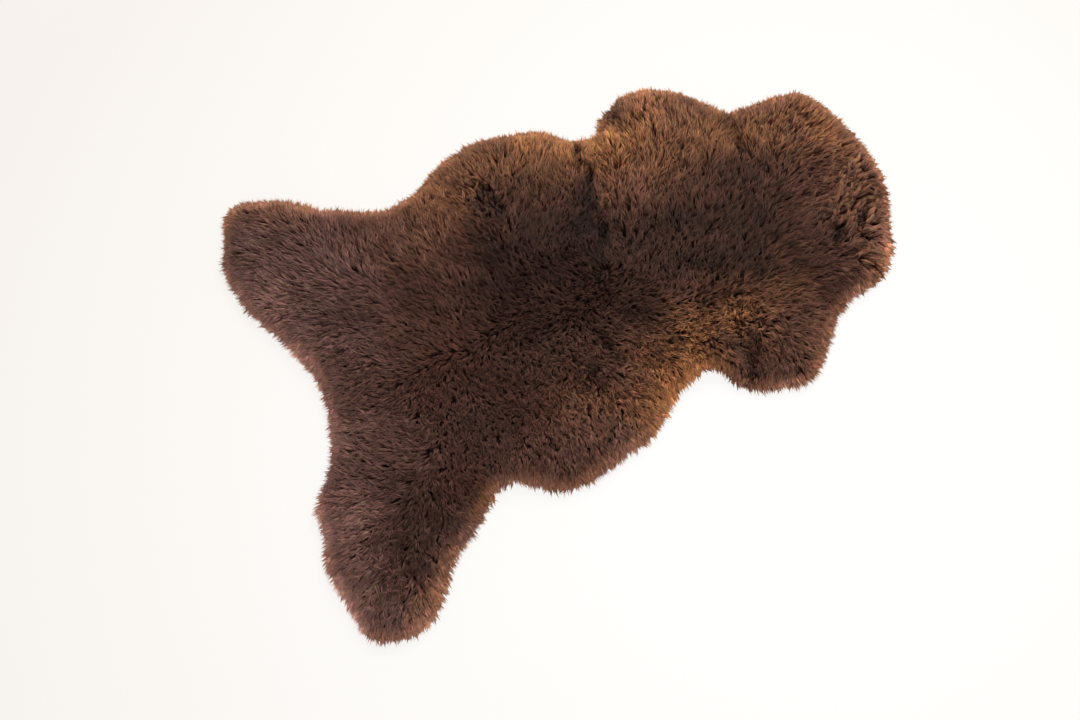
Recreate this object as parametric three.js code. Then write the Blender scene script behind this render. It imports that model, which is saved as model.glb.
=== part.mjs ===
// A whole sheepskin laid flat with its wool side up: one tanned hide and the dense pile that stands on it.
// Millimetres, +X from the rump to the neck, +Y to the animal's left, +Z up. The flesh side lies on Z = 0,
// and the origin is under the middle of the skin's own box.
import * as THREE from "three";

// Driving dimensions
const HIDE_THICKNESS = 2;
const PILE_LENGTH = 40; // wool standing on the middle of the back
const EDGE_INSET = 20; // the hide's cut edge lies this far inside the reach of the wool
const SEAT_GAP = 0.4; // between the hide's grain side and the underside of the pile
const PILE_FOOT = 1; // the wool past the hide's edge hangs down to this height
const EDGE_STEP = { foot: 2, top: 1 }; // the pile's underside steps up this far outside the hide's edge

// Spokes run from stations round the outline to the backbone, and rings of points cross them
const SPOKES = 168; // one lock of rim wool between each two
const BACKBONE = { rear: -290, front: 380, across: 14, halfWidth: 20 }; // the last ring runs round it
const LEAST_FACING = 0.6; // spokes that meet the rim more aslant than this count as no more aslant
const ARC_STEPS = 2000; // how finely the outline's length is measured when it is divided

// Reach of the wool, anticlockwise from the middle of the neck, as seen from above
const OUTLINE = [
  { stretch: "neck, middle", along: 525, across: -4 },
  { stretch: "neck, left of the middle", along: 517, across: 82 },
  { stretch: "neck, left corner", along: 471, across: 179 },
  { stretch: "dip behind the neck, left", along: 353, across: 199 },
  { stretch: "left foreleg, front", along: 270, across: 278 },
  { stretch: "left foreleg, back", along: 179, across: 292 },
  { stretch: "left waist", along: 120, across: 245 },
  { stretch: "left waist, step", along: 68, across: 271 },
  { stretch: "left flank, step", along: 54, across: 288 },
  { stretch: "left flank, front", along: 1, across: 305 },
  { stretch: "left flank, widest", along: -59, across: 316 },
  { stretch: "left flank, back", along: -131, across: 300 },
  { stretch: "left flank, dip", along: -182, across: 271 },
  { stretch: "left groin", along: -249, across: 265 },
  { stretch: "left thigh, front", along: -303, across: 293 },
  { stretch: "left thigh, dip", along: -340, across: 312 },
  { stretch: "left shank, front", along: -377, across: 345 },
  { stretch: "left shank, bump", along: -403, across: 354 },
  { stretch: "left hind leg, front corner", along: -466, across: 367 },
  { stretch: "left hind leg, end", along: -495, across: 307 },
  { stretch: "left hind leg, back corner", along: -508, across: 279 },
  { stretch: "left shank, back", along: -496, across: 192 },
  { stretch: "left thigh, back", along: -466, across: 126 },
  { stretch: "rump, left", along: -437, across: 35 },
  { stretch: "rump, right", along: -446, across: -39 },
  { stretch: "right thigh, back", along: -475, across: -107 },
  { stretch: "right thigh, shoulder", along: -508, across: -146 },
  { stretch: "right shank, back", along: -513, across: -197 },
  { stretch: "right shank, bulge", along: -523, across: -244 },
  { stretch: "right hind leg, back corner", along: -510, across: -316 },
  { stretch: "right hind leg, end", along: -499, across: -356 },
  { stretch: "right hind leg, tip", along: -447, across: -370 },
  { stretch: "right hind leg, front corner", along: -408, across: -358 },
  { stretch: "right shank, front", along: -357, across: -303 },
  { stretch: "right thigh, front", along: -307, across: -270 },
  { stretch: "right groin", along: -248, across: -227 },
  { stretch: "right flank, back", along: -215, across: -232 },
  { stretch: "right flank, widest", along: -161, across: -269 },
  { stretch: "right flank, middle", along: -98, across: -269 },
  { stretch: "right flank, front", along: -66, across: -260 },
  { stretch: "right belly", along: 0, across: -246 },
  { stretch: "right waist, back", along: 61, across: -203 },
  { stretch: "right waist", along: 119, across: -191 },
  { stretch: "right foreleg, back", along: 169, across: -247 },
  { stretch: "right foreleg, end", along: 215, across: -258 },
  { stretch: "right foreleg, tip", along: 246, across: -271 },
  { stretch: "right foreleg, front", along: 294, across: -240 },
  { stretch: "dip behind the neck, right", along: 359, across: -182 },
  { stretch: "neck, right corner", along: 452, across: -155 },
  { stretch: "neck, right of the middle", along: 496, across: -81 },
];

// Where the dried hide stands clear of the floor along its edge
const LIFTS = [
  { place: "right waist", along: 118, across: -176, radius: 78, height: 11 },
  { place: "right groin", along: -238, across: -212, radius: 66, height: 7 },
  { place: "left waist", along: 118, across: 226, radius: 74, height: 9 },
  { place: "left shank", along: -396, across: 334, radius: 66, height: 6 },
  { place: "neck, left corner", along: 455, across: 160, radius: 72, height: 6 },
];

// Broad mounds and hollows of the wool
const MOUNDS = [
  { place: "left flank", along: -70, across: 180, radius: 130, height: 9 },
  { place: "left foreleg", along: 215, across: 190, radius: 100, height: 8 },
  { place: "neck, left", along: 430, across: 90, radius: 90, height: 7 },
  { place: "neck, right", along: 420, across: -70, radius: 80, height: 5 },
  { place: "right flank", along: -90, across: -160, radius: 120, height: 7 },
  { place: "right foreleg", along: 235, across: -170, radius: 80, height: 7 },
  { place: "rump", along: -330, across: 20, radius: 130, height: 5 },
  { place: "left hind leg", along: -430, across: 260, radius: 80, height: 3 },
  { place: "right hind leg", along: -440, across: -250, radius: 90, height: 6 },
  { place: "saddle", along: 60, across: 60, radius: 110, height: -8 },
];

// Furrows where the wool parts, each a straight trough with a soft round end
const PARTINGS = [
  { place: "left shoulder, rim", from: [108, 232], to: [96, 165], reach: 32, depth: 12 },
  { place: "left shoulder", from: [96, 165], to: [62, 88], reach: 42, depth: 13 },
  { place: "saddle", from: [62, 88], to: [-20, 62], reach: 42, depth: 8 },
  { place: "left flank whorl", from: [-48, 205], to: [-28, 150], reach: 35, depth: 7 },
  { place: "behind the neck, left", from: [342, 185], to: [318, 132], reach: 32, depth: 9 },
  { place: "neck curls", from: [440, 25], to: [395, -45], reach: 48, depth: 6 },
  { place: "right belly", from: [-25, -110], to: [10, -160], reach: 38, depth: 10 },
  { place: "right foreleg", from: [170, -185], to: [215, -215], reach: 38, depth: 7 },
  { place: "left thigh", from: [-395, 215], to: [-440, 235], reach: 35, depth: 5 },
  { place: "right shank", from: [-400, -215], to: [-455, -290], reach: 38, depth: 6 },
];

// The pile's section: a low wall near its rim, then a rounded brow that rises to the full pile
const WALL = { inset: 10, height: 17 };
const BROW = { width: 62, fullness: 2.4 };
const BROW_INSETS = [13, 22, 36, 56]; // rings over the brow, in from the outline
const INNER_RINGS = 8; // rings between the brow and the backbone
const UNDER_INSETS = [36, 54, 76, 104]; // rings under the pile and in the hide, in from the outline

// Small unevenness of the wool's surface
const RIPPLE = { size: 46, height: 3.6 };

// Rim locks: tapered tufts with four sides, fused to the pile at their roots. Sweep is a share of the
// lock's length, middle is how far along the lock its waist lies, and waist is a share of the root's size.
const LOCK = { shortest: 6, longest: 20, sweep: 0.5, middle: 0.55, waist: 0.62, tipLow: 1.5, tipHigh: 4.5 };

const clamp = THREE.MathUtils.clamp;

// A repeatable pseudo-random number from 0 to 1 for each pair of whole numbers
function scatter(a, b) {
  const wave = Math.sin(a * 127.1 + b * 311.7) * 43758.5453;
  return wave - Math.floor(wave);
}

// Smooth bumps from -1 to 1, one about every unit
function smoothNoise(x, y) {
  const column = Math.floor(x);
  const row = Math.floor(y);
  const ease = (t) => t * t * (3 - 2 * t);
  const u = ease(x - column);
  const v = ease(y - row);
  const low = scatter(column, row) * (1 - u) + scatter(column + 1, row) * u;
  const high = scatter(column, row + 1) * (1 - u) + scatter(column + 1, row + 1) * u;
  return 2 * (low * (1 - v) + high * v) - 1;
}

// A round hill of height 1 in the middle and 0 from its radius on
function hill(distance, radius) {
  const share = clamp(distance / radius, 0, 1);
  return (1 - share * share) ** 2;
}

function sumOfHills(rows, x, y) {
  return rows.reduce((sum, row) => {
    const distance = Math.hypot(x - row.along, y - row.across);
    return sum + row.height * hill(distance, row.radius);
  }, 0);
}

function partingDepth(x, y) {
  return PARTINGS.reduce((sum, row) => {
    const start = new THREE.Vector2(...row.from);
    const run = new THREE.Vector2(...row.to).sub(start);
    const offset = new THREE.Vector2(x, y).sub(start);
    const share = clamp(offset.dot(run) / run.lengthSq(), 0, 1);
    const distance = offset.distanceTo(run.multiplyScalar(share));
    return sum + row.depth * hill(distance, row.reach);
  }, 0);
}

// Stations round the outline: the point, the way in along its spoke, and how squarely the spoke meets the rim
function outlineStations() {
  const corners = OUTLINE.map((row) => new THREE.Vector3(row.along, row.across, 0));
  const curve = new THREE.CatmullRomCurve3(corners, true, "centripetal");
  curve.arcLengthDivisions = ARC_STEPS;
  const points = curve.getSpacedPoints(SPOKES).slice(0, SPOKES);
  return points.map((point, i) => {
    const before = points[(i + SPOKES - 1) % SPOKES];
    const after = points[(i + 1) % SPOKES];
    const tangent = new THREE.Vector2(after.x - before.x, after.y - before.y).normalize();
    const inward = new THREE.Vector2(-tangent.y, tangent.x);
    const spine = clamp(point.x, BACKBONE.rear, BACKBONE.front);
    const spoke = new THREE.Vector2(spine - point.x, BACKBONE.across - point.y);
    const length = spoke.length();
    spoke.divideScalar(length);
    const facing = Math.max(spoke.dot(inward), LEAST_FACING);
    return { x: point.x, y: point.y, inward, spoke, length, facing };
  });
}

const stations = outlineStations();

function alongSpoke(station, run) {
  return [station.x + station.spoke.x * run, station.y + station.spoke.y * run];
}

// The point on each station's spoke that lies a given distance in from the outline
const atInset = (inset) => (station) => alongSpoke(station, inset / station.facing);

// The point past the brow, where share runs from 0 there to 1 beside the backbone
const atShare = (share) => (station) => {
  const start = BROW_INSETS.at(-1) / station.facing;
  const end = station.length - BACKBONE.halfWidth;
  return alongSpoke(station, THREE.MathUtils.lerp(start, end, share));
};

// Distance from a point to the nearest stretch of the outline
function distanceToOutline(x, y) {
  let least = Infinity;
  stations.forEach((a, i) => {
    const b = stations[(i + 1) % SPOKES];
    const runX = b.x - a.x;
    const runY = b.y - a.y;
    const share = clamp(((x - a.x) * runX + (y - a.y) * runY) / (runX ** 2 + runY ** 2), 0, 1);
    least = Math.min(least, Math.hypot(x - a.x - runX * share, y - a.y - runY * share));
  });
  return least;
}

const hideUnderside = (x, y) => sumOfHills(LIFTS, x, y);
const hideTop = (x, y) => hideUnderside(x, y) + HIDE_THICKNESS;
const pileUnderside = (x, y) => hideTop(x, y) + SEAT_GAP;

function pileTop(x, y) {
  const share = clamp(distanceToOutline(x, y) / BROW.width, 0, 1);
  const brow = (1 - (1 - share) ** BROW.fullness) ** (1 / BROW.fullness);
  const ripple = RIPPLE.height * smoothNoise(x / RIPPLE.size, y / RIPPLE.size);
  const pile = PILE_LENGTH + sumOfHills(MOUNDS, x, y) + ripple - partingDepth(x, y);
  return hideTop(x, y) + Math.max(pile * brow, WALL.height);
}

// Collects rings of points and the faces between them into one closed geometry
class RingMesh {
  constructor() {
    this.points = [];
    this.faces = [];
  }

  point(x, y, z) {
    return this.points.push(x, y, z) / 3 - 1;
  }

  // One point for each station, at a height that depends on its place
  ring(place, height) {
    return stations.map((station) => {
      const [x, y] = place(station);
      return this.point(x, y, height(x, y));
    });
  }

  face(a, b, c, down) {
    this.faces.push(a, down ? c : b, down ? b : c);
  }

  // Two faces over four corners, always split from the first corner to the third
  quad(a, b, c, d, down = false) {
    this.face(a, b, c, down);
    this.face(a, c, d, down);
  }

  // Faces between an outer ring and an inner one, looking up, or down when asked
  band(outer, inner, down = false) {
    outer.forEach((corner, i) => {
      const next = (i + 1) % outer.length;
      this.quad(corner, outer[next], inner[next], inner[i], down);
    });
  }

  // Fills a flat ring, looking up, or down when asked
  cap(ring, down = false) {
    const flat = ring.map((corner) => {
      return new THREE.Vector2(this.points[3 * corner], this.points[3 * corner + 1]);
    });
    THREE.ShapeUtils.triangulateShape(flat, []).forEach(([a, b, c]) => {
      this.face(ring[a], ring[b], ring[c], down);
    });
  }

  // Fills the narrow ring round the backbone with faces from side to side, from the neck to the rump
  closeBackbone(ring) {
    const alongOf = (index) => this.points[3 * ring[index]];
    let left = 0;
    let right = ring.length - 1;
    while (right - left > 1) {
      if (alongOf(left + 1) > alongOf(right - 1)) {
        this.face(ring[left], ring[left + 1], ring[right]);
        left += 1;
      } else {
        this.face(ring[right - 1], ring[right], ring[left]);
        right -= 1;
      }
    }
  }

  geometry() {
    const geometry = new THREE.BufferGeometry();
    geometry.setAttribute("position", new THREE.Float32BufferAttribute(this.points, 3));
    geometry.setIndex(this.faces);
    geometry.computeVertexNormals();
    return geometry;
  }
}

// The tanned hide: an even sheet cut to the animal's outline
function hideGeometry() {
  const mesh = new RingMesh();
  const insets = [EDGE_INSET, ...UNDER_INSETS];
  const tops = insets.map((inset) => mesh.ring(atInset(inset), hideTop));
  const undersides = insets.map((inset) => mesh.ring(atInset(inset), hideUnderside));
  mesh.band(undersides[0], tops[0]);
  for (let i = 1; i < insets.length; i++) {
    mesh.band(tops[i - 1], tops[i]);
    mesh.band(undersides[i - 1], undersides[i], true);
  }
  mesh.cap(tops.at(-1));
  mesh.cap(undersides.at(-1), true);
  return mesh.geometry();
}

// One rim lock between two stations: it leaves the wall, sweeps sideways, droops and ends in a point
function addLock(mesh, i, foot, shoulder) {
  const next = (i + 1) % SPOKES;
  const { inward } = stations[i];
  const length = THREE.MathUtils.lerp(LOCK.shortest, LOCK.longest, scatter(i, 1));
  const sweep = LOCK.sweep * length * (2 * scatter(i, 2) - 1);
  const out = new THREE.Vector3(
    -inward.x * length - inward.y * sweep,
    -inward.y * length + inward.x * sweep,
    0,
  );
  const corners = [foot[i], foot[next], shoulder[next], shoulder[i]];
  const places = corners.map((corner) => {
    return new THREE.Vector3().fromArray(mesh.points, 3 * corner);
  });
  const root = new THREE.Vector3();
  places.forEach((place) => root.addScaledVector(place, 1 / places.length));
  const tip = root.clone().add(out);
  tip.z = places[0].z + THREE.MathUtils.lerp(LOCK.tipLow, LOCK.tipHigh, scatter(i, 3));
  const middle = root.clone().addScaledVector(out, LOCK.middle);
  middle.z = THREE.MathUtils.lerp(root.z, tip.z, LOCK.middle ** 2);
  const waist = places.map((place) => {
    const { x, y, z } = place.clone().sub(root).multiplyScalar(LOCK.waist).add(middle);
    return mesh.point(x, y, Math.max(z, places[0].z));
  });
  const point = mesh.point(tip.x, tip.y, tip.z);
  corners.forEach((corner, side) => {
    const other = (side + 1) % corners.length;
    mesh.quad(corner, corners[other], waist[other], waist[side]);
    mesh.face(waist[side], waist[other], point);
  });
}

// The wool: a lumpy pile that follows the hide, with locks round its rim that droop past the cut edge
function fleeceGeometry() {
  const mesh = new RingMesh();
  const liftedFoot = (x, y) => hideUnderside(x, y) + PILE_FOOT;
  const wallShoulder = (x, y) => hideUnderside(x, y) + WALL.height;
  const foot = mesh.ring(atInset(WALL.inset), liftedFoot);
  const shoulder = mesh.ring(atInset(WALL.inset), wallShoulder);
  stations.forEach((_, i) => addLock(mesh, i, foot, shoulder));

  let outer = shoulder;
  const climb = (ring) => {
    mesh.band(outer, ring);
    outer = ring;
  };
  BROW_INSETS.forEach((inset) => climb(mesh.ring(atInset(inset), pileTop)));
  for (let i = 1; i <= INNER_RINGS; i++) {
    climb(mesh.ring(atShare(i / INNER_RINGS), pileTop));
  }
  mesh.closeBackbone(outer);

  const stepFoot = mesh.ring(atInset(EDGE_INSET - EDGE_STEP.foot), liftedFoot);
  const stepTop = mesh.ring(atInset(EDGE_INSET - EDGE_STEP.top), pileUnderside);
  const underside = UNDER_INSETS.map((inset) => mesh.ring(atInset(inset), pileUnderside));
  const last = [stepFoot, stepTop, ...underside].reduce((outside, inside) => {
    mesh.band(outside, inside, true);
    return inside;
  }, foot);
  mesh.cap(last, true);
  return mesh.geometry();
}

const leather = new THREE.MeshStandardMaterial({ color: 0xc9ab84, roughness: 0.85, metalness: 0 });
const wool = new THREE.MeshStandardMaterial({ color: 0x4a3027, roughness: 0.95, metalness: 0 });

function namedMesh(name, geometry, material) {
  const mesh = new THREE.Mesh(geometry, material);
  mesh.name = name;
  return mesh;
}

const hide = namedMesh("hide", hideGeometry(), leather);
const fleece = namedMesh("fleece", fleeceGeometry(), wool);

// Both pieces shift together, so that the origin lies under the middle of the skin's box
const box = new THREE.Box3().setFromObject(fleece);
const middle = box.getCenter(new THREE.Vector3());
const sheepskin = new THREE.Group();
[hide, fleece].forEach((mesh) => {
  mesh.position.set(-middle.x, -middle.y, 0);
  sheepskin.add(mesh);
});

export default sheepskin;
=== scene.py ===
import math
from collections import namedtuple

import bmesh
import bpy
import numpy as np
from mathutils import Matrix, Vector
from mathutils.bvhtree import BVHTree
from mathutils.geometry import delaunay_2d_cdt
from mathutils.kdtree import KDTree


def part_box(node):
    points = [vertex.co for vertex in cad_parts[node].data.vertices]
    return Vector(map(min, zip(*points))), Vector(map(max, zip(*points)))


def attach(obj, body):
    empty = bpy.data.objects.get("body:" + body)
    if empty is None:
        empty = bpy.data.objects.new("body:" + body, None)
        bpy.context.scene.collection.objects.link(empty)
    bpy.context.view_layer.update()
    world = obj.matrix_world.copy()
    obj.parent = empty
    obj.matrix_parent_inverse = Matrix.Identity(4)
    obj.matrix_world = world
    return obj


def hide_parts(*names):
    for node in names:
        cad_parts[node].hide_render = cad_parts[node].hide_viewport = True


# A sheepskin laid flat with its wool up. Lengths are in millimetres until a mesh is made.
# +X runs along the back from the rump to the neck, +Y to the animal's left, +Z up.
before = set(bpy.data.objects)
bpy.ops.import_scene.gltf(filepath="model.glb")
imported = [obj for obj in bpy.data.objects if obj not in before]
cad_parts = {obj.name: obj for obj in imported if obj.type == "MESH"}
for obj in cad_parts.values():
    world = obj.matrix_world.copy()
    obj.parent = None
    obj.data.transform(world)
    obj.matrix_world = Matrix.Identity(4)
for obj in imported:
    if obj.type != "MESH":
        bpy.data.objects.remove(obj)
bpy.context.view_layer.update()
MM = 0.001
rng = np.random.default_rng(7)

# Camera: it looks down steeply, and the skin lies turned in its picture.
AIM = Vector((-111.5, -66.4, 0.0))
ELEVATION = 73.0
SKIN_TURN = 24.0
DISTANCE = 1633.4
LENS = 35.0
SENSOR = 36.0

# The brightest place of the floor, and how far from it the glow fades, in metres.
FLOOR_BRIGHT = (0.19, -0.40, 0.0)
FLOOR_FADE = 1.5

# The skin itself.
SKIN_THICKNESS = 2.0
SKIN_EDGE = 0.6
EDGE_SPACING = 4.5
SKIN_GRID = 12.0

# The dark mass of underwool that the locks stand on.
BASE_OUT = 8.0
BASE_RINGS = [0.0, 0.3, 1.2, 3.0, 6.0, 10.0, 14.0]
BASE_SHOULDER = 14.0
BASE_GRID = 9.0
BASE_FOOT = {"rim": 1.0, "inside": 2.5, "over": 8.0}
PILE_DEPTH = {"rim": 11.0, "inside": 16.0, "over": 45.0}

# The wool's locks and their strands.
STRAND_CELL = 1.71
RIM_CELL = 1.30
LOCK_CELL = 4.4
TUFT_CELL = 7.0
STRAND_STEPS = [0.0, 0.5, 1.0]
STRAND_HALF = 0.63
STRAND_RISE = 0.55
WOOL_REACH = 20.0
WISP = 4.2
WOOL_PIECES = 8

# The direction of the wool's lie, as a heading in degrees anticlockwise from +X.
Flow = namedtuple("Flow", "place along across heading")
FLOW_REACH = 45.0
FLOW = [
    Flow("left hind leg, tip", -470, 345, 145),
    Flow("left shank", -448, 296, 158),
    Flow("left hind leg, far edge", -415, 335, 90),
    Flow("left shank, back", -460, 265, 158),
    Flow("left thigh, back", -405, 210, 130),
    Flow("left thigh, rim", -450, 115, 170),
    Flow("left thigh, front", -295, 260, 75),
    Flow("left thigh", -315, 210, 95),
    Flow("left groin", -225, 215, 95),
    Flow("left loin", -370, 125, 150),
    Flow("left loin, back", -310, 50, 160),
    Flow("rump, rim", -400, 40, 205),
    Flow("left flank, front", -110, 280, 100),
    Flow("left flank, low", -155, 225, 105),
    Flow("left flank, deep", -190, 95, 105),
    Flow("left flank, back", -240, 65, 140),
    Flow("left flank, top", 5, 275, 75),
    Flow("left flank, corner", 50, 265, 50),
    Flow("left flank, upper", 25, 215, 75),
    Flow("whorl, above", -90, 220, 125),
    Flow("whorl, beside", -35, 165, 45),
    Flow("whorl, below", -85, 125, 100),
    Flow("saddle", -50, 0, 175),
    Flow("shoulder parting, back", 40, 165, 90),
    Flow("shoulder parting, front", 95, 140, 50),
    Flow("left foreleg, back", 155, 250, 108),
    Flow("left foreleg, tip", 230, 270, 70),
    Flow("left foreleg, front", 280, 220, 50),
    Flow("left foreleg", 210, 175, 65),
    Flow("left shoulder", 215, 85, 60),
    Flow("left shoulder, low", 125, 55, 70),
    Flow("withers", 160, -25, 55),
    Flow("neck dip", 310, 180, 55),
    Flow("neck, left", 360, 135, 40),
    Flow("neck, left low", 315, 40, 45),
    Flow("neck, left tip", 440, 165, 30),
    Flow("neck, corner", 490, 80, 15),
    Flow("neck, front", 490, -65, 348),
    Flow("neck, middle", 410, 65, 10),
    Flow("neck curls", 455, -30, 355),
    Flow("neck, centre", 370, -45, 355),
    Flow("neck, right front", 440, -150, 320),
    Flow("neck, right corner", 370, -170, 305),
    Flow("neck, right", 280, -120, 340),
    Flow("neck, base", 225, -55, 35),
    Flow("right shoulder", 295, -200, 312),
    Flow("right foreleg, tip", 255, -270, 300),
    Flow("right foreleg, back", 192, -230, 260),
    Flow("right chest", 195, -140, 270),
    Flow("right flank, front", 120, -140, 300),
    Flow("right waist", 80, -170, 280),
    Flow("right belly, front", 15, -180, 272),
    Flow("right belly, low", -75, -190, 255),
    Flow("right belly, hollow", -45, -85, 275),
    Flow("right belly", -120, -100, 260),
    Flow("right belly, rim", -145, -250, 255),
    Flow("right belly, rim front", -85, -265, 275),
    Flow("right belly, back", -190, -165, 255),
    Flow("backbone, front", 30, -70, 305),
    Flow("right groin", -220, -210, 255),
    Flow("rump, middle", -370, -30, 168),
    Flow("right thigh, back", -425, -115, 155),
    Flow("right thigh", -365, -120, 160),
    Flow("right thigh, front", -270, -80, 255),
    Flow("right hip", -295, -170, 255),
    Flow("right shank, back", -480, -140, 170),
    Flow("right shank", -460, -200, 170),
    Flow("right shank, rim", -525, -250, 215),
    Flow("right hind leg, rim", -505, -320, 235),
    Flow("right hind leg, tip", -480, -365, 250),
    Flow("right hind leg, front tip", -405, -350, 250),
    Flow("right hind leg, front", -350, -290, 292),
    Flow("right groin, rim", -265, -235, 295),
    Flow("right hind leg, middle", -390, -255, 230),
    Flow("right hind leg, swirl", -455, -300, 190),
]

# How the wool stands: lean from upright in degrees, length, curl, how much it gathers in tufts,
# how far its locks stray from the lie in degrees, and how unlike each other they are.
Stand = namedtuple("Stand", "place along across reach lean length curl tuft stray rough")
EVERYWHERE = Stand("everywhere", 0, 0, 0, 52, 24, 1.8, 0.0, 18, 0.8)
STANDS = [
    Stand("neck, front", 470, -10, 55, 40, 21, 3.2, 1, 32, 1.1),
    Stand("neck, middle", 410, -45, 45, 40, 21, 3.2, 1, 32, 1.1),
    Stand("neck, right corner", 430, -120, 55, 44, 22, 3, 0.9, 30, 1.25),
    Stand("neck, left", 420, 120, 70, 52, 24, 1.4, 0.1, 18, 1.5),
    Stand("right foreleg", 255, -230, 60, 52, 24, 2, 0.5, 28, 1.1),
    Stand("right shoulder", 190, -135, 45, 38, 17, 3, 0.1, 70, 1.2),
    Stand("right waist", 110, -140, 45, 46, 19, 2.6, 0.2, 36, 1.1),
    Stand("backbone, front", 120, -10, 90, 42, 21, 1.2, 0, 34, 0.65),
    Stand("backbone, hollow", 20, 30, 60, 32, 20, 1.4, 0, 45, 0.5),
    Stand("backbone, middle", -60, -20, 100, 44, 20, 1.2, 0, 34, 0.4),
    Stand("backbone, back", -230, -20, 90, 49, 22, 1.2, 0, 28, 0.4),
    Stand("left hind leg", -430, 270, 110, 60, 26, 1, 0, 12, 0.65),
    Stand("left flank", -20, 240, 90, 58, 26, 1.2, 0, 14, 0.9),
    Stand("left flank, whorl", -78, 185, 40, 32, 19, 3.2, 1, 60, 1.3),
    Stand("left foreleg", 220, 190, 90, 56, 26, 1.2, 0, 14, 1.3),
    Stand("right flank, hollow", -20, -120, 45, 46, 25, 2.8, 0.9, 34, 1.2),
    Stand("right belly", -60, -200, 80, 55, 24, 1.8, 0.3, 26, 0.95),
    Stand("right loin", -240, -150, 80, 48, 22, 1.4, 0, 30, 0.4),
    Stand("right hind leg", -420, -270, 100, 56, 27, 2, 0.1, 36, 0.6),
    Stand("right hind leg, rim", -505, -240, 60, 66, 32, 1.6, 0, 18, 0.7),
    Stand("right shank", -470, -150, 70, 62, 28, 1.2, 0, 15, 0.6),
    Stand("left shoulder", 75, 105, 50, 46, 23, 2, 0.1, 26, 1.6),
    Stand("left shoulder, front", 150, 90, 50, 48, 23, 1.6, 0, 20, 1),
    Stand("neck, left low", 330, 60, 55, 50, 23, 1.6, 0, 22, 1.5),
    Stand("left loin", -290, 90, 75, 50, 23, 1.4, 0, 20, 0.4),
    Stand("right thigh", -370, -110, 60, 50, 23, 1.4, 0, 22, 0.5),
]

# Where the wool ends short of its usual reach (below 0: past it), and how far the skin comes out.
Notch = namedtuple("Notch", "place along across reach short bare")
NOTCHES = [
    Notch("behind the left foreleg", 132, 238, 22, 9, 0),
    Notch("behind the left flank", 75, 250, 20, 5, 0),
    Notch("right groin", -222, -228, 14, 9, 17),
    Notch("behind the right foreleg", 135, -212, 28, 7, 0),
    Notch("rump, left", -481, 146, 42, 8, 0),
    Notch("rump, right", -485, -107, 38, 16, -4),
    Notch("right shank", -519, -202, 24, 6, 0),
    Notch("right hind leg, front", -371, -322, 34, 7, 0),
    Notch("left hind leg, back", -507, 231, 16, 5, 0),
    Notch("left hind leg, front", -390, 350, 36, 4, 0),
    Notch("left foreleg, back corner", 179, 289, 18, -5, 0),
    Notch("left hind leg, tip", -474, 363, 20, -4, 0),
    Notch("neck, right front", 491, -97, 26, -4, 0),
    Notch("right hind leg, tip", -435, -371, 20, -4, 0),
    Notch("right shank, low", -518, -290, 40, 4, 0),
    Notch("left groin", -361, 332, 22, 4, 0),
]

# Deep gaps where the wool parts: their two ends, half width, and depth as a share.
Parting = namedtuple("Parting", "place start end reach depth")
PARTINGS = [
    Parting("left shoulder, rim", (83, 226), (74, 196), 5, 1),
    Parting("left shoulder, high", (89, 190), (80, 168), 6, 1),
    Parting("left shoulder", (69, 152), (56, 136), 8, 1),
    Parting("left shoulder, middle", (60, 126), (50, 116), 6, 1),
    Parting("left shoulder, front", (74, 104), (66, 80), 6, 0.85),
    Parting("left shoulder, low", (64, 72), (42, 52), 7, 0.9),
    Parting("left foreleg, back", (176, 280), (158, 230), 8, 0.9),
    Parting("neck dip", (341, 186), (326, 116), 7, 0.9),
    Parting("whorl, high", (-88, 226), (-78, 204), 5, 0.8),
    Parting("whorl, low", (-82, 190), (-75, 166), 7, 0.8),
    Parting("right belly", (-14, -80), (-11, -98), 8, 1),
    Parting("right belly, low", (-48, -125), (-62, -140), 7, 0.8),
    Parting("right foreleg, back", (198, -188), (170, -228), 9, 0.7),
    Parting("neck curls", (452, -62), (436, -78), 6, 0.9),
    Parting("neck curls, low", (402, -70), (390, -84), 6, 0.8),
]

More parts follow.
